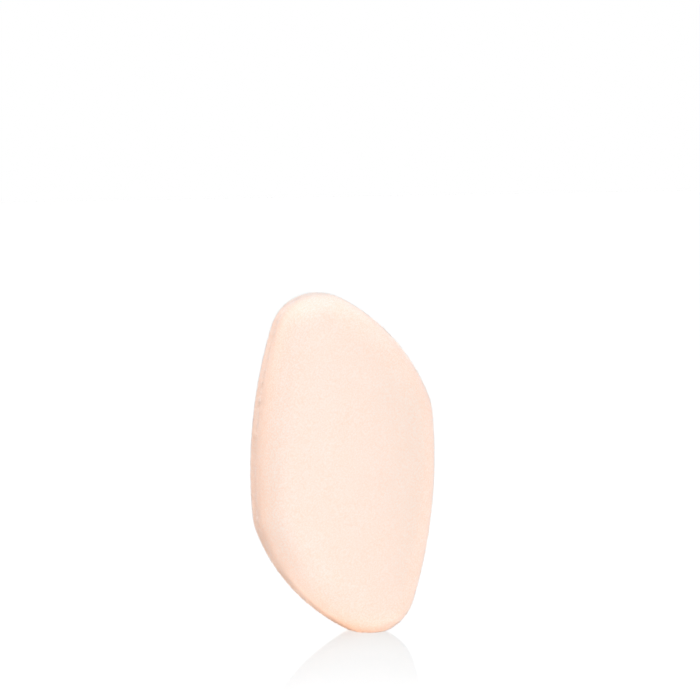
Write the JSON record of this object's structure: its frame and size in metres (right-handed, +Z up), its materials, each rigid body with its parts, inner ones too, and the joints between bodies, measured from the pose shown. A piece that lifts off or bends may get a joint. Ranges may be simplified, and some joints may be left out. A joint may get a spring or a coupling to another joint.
{
  "type": "makeup sponge",
  "caption": "Flocked foam makeup sponge with a rounded slanting outline and crowned faces, built from bonded halves with an edge seam; squeezes and springs back.",
  "frame": {"origin": "under the middle of the sponge's outline, on the surface that its lower tip stands on", "axes": "+Z up along the length, +X across the width to the right as seen from the front, +Y through the thickness towards the back"},
  "size_m": [0.0428, 0.0196, 0.0795],
  "materials": {
    "flock": "short matte pile, pale peach",
    "adhesive": "thin satin coat",
    "foam": "fine open-cell foam, matte",
    "film": "thin matte film"
  },
  "bodies": {
    "seam": {"bond_film": "film"},
    "front_half": {"front_flock": "flock", "front_flock_adhesive": "adhesive", "front_foam": "foam"},
    "back_half": {"back_flock": "flock", "back_flock_adhesive": "adhesive", "back_foam": "foam"}
  },
  "joints": [
    {"name": "front_squeeze", "type": "slide", "parent": "seam", "child": "front_half", "axis": [0, 1, 0], "range_m": [0, 0.0045], "stiffness_N_per_m": 2200, "deforming": ["front_flock", "front_flock_adhesive", "front_foam"]},
    {"name": "back_squeeze", "type": "slide", "parent": "seam", "child": "back_half", "axis": [0, -1, 0], "range_m": [0, 0.0045], "stiffness_N_per_m": 2200, "deforming": ["back_flock", "back_flock_adhesive", "back_foam"]}
  ],
  "couplings": [
    {"joint": "back_squeeze", "follows": "front_squeeze", "ratio": 1}
  ]
}
